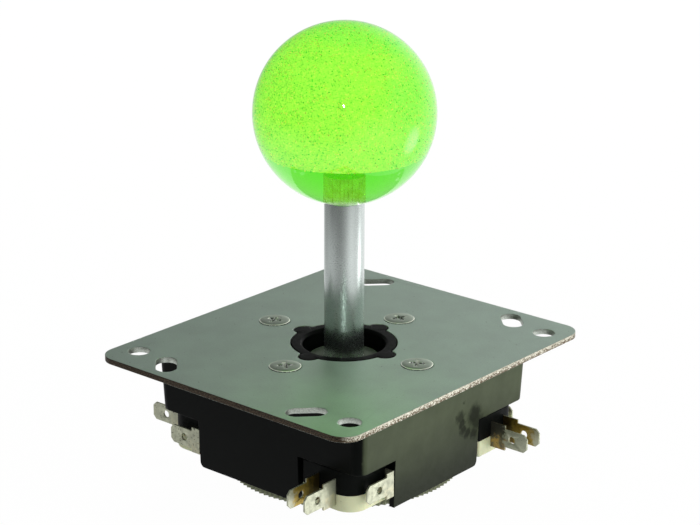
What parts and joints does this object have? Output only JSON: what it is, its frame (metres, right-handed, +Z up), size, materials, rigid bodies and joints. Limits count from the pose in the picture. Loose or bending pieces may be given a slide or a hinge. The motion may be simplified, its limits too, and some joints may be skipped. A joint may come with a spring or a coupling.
{
  "type": "arcade joystick lever",
  "caption": "Ball-top arcade joystick lever on a steel mounting plate, with a square housing, corner microswitches and a turning gate dial underneath.",
  "frame": {"origin": "centre of the mounting plate's top face, on the lever's axis", "axes": "+Z up along the lever, +X along the plate's short side, +Y along its long side"},
  "size_m": [0.0866, 0.0934, 0.1135],
  "materials": {
    "zinc_plate": "zinc plated, satin",
    "black_plastic": "satin moulded",
    "bright_screw": "bright zinc",
    "spring_steel": "drawn wire",
    "white_nylon": "smooth",
    "steel": "turned",
    "satin_steel": "satin",
    "green_resin": "clear with glitter",
    "dark_insert": "ribbed",
    "clear_plastic": "frosted clear",
    "switch_black": "moulded",
    "switch_cream": "moulded",
    "plunger_red": "smooth",
    "tinned_brass": "tinned, tarnished"
  },
  "bodies": {
    "housing": {"housing": "black_plastic", "mounting_plate": "zinc_plate", "plate_screws": "bright_screw", "base_plate": "black_plastic", "dial_screws": "bright_screw", "right_switch_cover": "switch_black", "right_switch_base": "switch_cream", "right_common_tab": "tinned_brass", "right_closed_tab": "tinned_brass", "right_open_tab": "tinned_brass", "back_switch_cover": "switch_black", "back_switch_base": "switch_cream", "back_common_tab": "tinned_brass", "back_closed_tab": "tinned_brass", "back_open_tab": "tinned_brass", "left_switch_cover": "switch_black", "left_switch_base": "switch_cream", "left_common_tab": "tinned_brass", "left_closed_tab": "tinned_brass", "left_open_tab": "tinned_brass", "front_switch_cover": "switch_black", "front_switch_base": "switch_cream", "front_common_tab": "tinned_brass", "front_closed_tab": "tinned_brass", "front_open_tab": "tinned_brass"},
    "spring": {"centring_spring": "spring_steel"},
    "pivot": {"pivot_ball": "white_nylon", "actuator": "black_plastic"},
    "handle": {"lever_shaft": "steel", "shaft_sleeve": "satin_steel", "shaft_clip": "steel", "ball_top": "green_resin", "ball_insert": "dark_insert"},
    "dial": {"gate_dial": "clear_plastic"},
    "right_plunger": {"right_switch_plunger": "plunger_red"},
    "back_plunger": {"back_switch_plunger": "plunger_red"},
    "left_plunger": {"left_switch_plunger": "plunger_red"},
    "front_plunger": {"front_switch_plunger": "plunger_red"}
  },
  "joints": [
    {"name": "tilt_front_back", "type": "hinge", "parent": "housing", "child": "spring", "pos_m": [0, 0, -0.011], "axis": [1, 0, 0], "range_deg": [-7, 7], "stiffness_Nm_per_rad": 1.2, "deforming": ["centring_spring"]},
    {"name": "tilt_left_right", "type": "hinge", "parent": "spring", "child": "pivot", "pos_m": [0, 0, -0.011], "axis": [0, 1, 0], "range_deg": [-7, 7], "stiffness_Nm_per_rad": 1.2},
    {"name": "lever_spin", "type": "hinge", "parent": "pivot", "child": "handle", "pos_m": [0, 0, -0.011], "axis": [0, 0, 1], "continuous": true},
    {"name": "dial_turn", "type": "hinge", "parent": "housing", "child": "dial", "pos_m": [0, 0, -0.029], "axis": [0, 0, 1], "range_deg": [0, 45]},
    {"name": "right_plunger_press", "type": "slide", "parent": "housing", "child": "right_plunger", "axis": [1, 0, 0], "range_m": [-0.00136, 0.00136]},
    {"name": "back_plunger_press", "type": "slide", "parent": "housing", "child": "back_plunger", "axis": [0, 1, 0], "range_m": [-0.00136, 0.00136]},
    {"name": "left_plunger_press", "type": "slide", "parent": "housing", "child": "left_plunger", "axis": [1, 0, 0], "range_m": [-0.00136, 0.00136]},
    {"name": "front_plunger_press", "type": "slide", "parent": "housing", "child": "front_plunger", "axis": [0, 1, 0], "range_m": [-0.00136, 0.00136]}
  ],
  "couplings": [
    {"joint": "right_plunger_press", "follows": "tilt_left_right", "m_per_rad": -0.01105},
    {"joint": "back_plunger_press", "follows": "tilt_front_back", "m_per_rad": 0.01105},
    {"joint": "left_plunger_press", "follows": "tilt_left_right", "m_per_rad": -0.01105},
    {"joint": "front_plunger_press", "follows": "tilt_front_back", "m_per_rad": 0.01105}
  ]
}
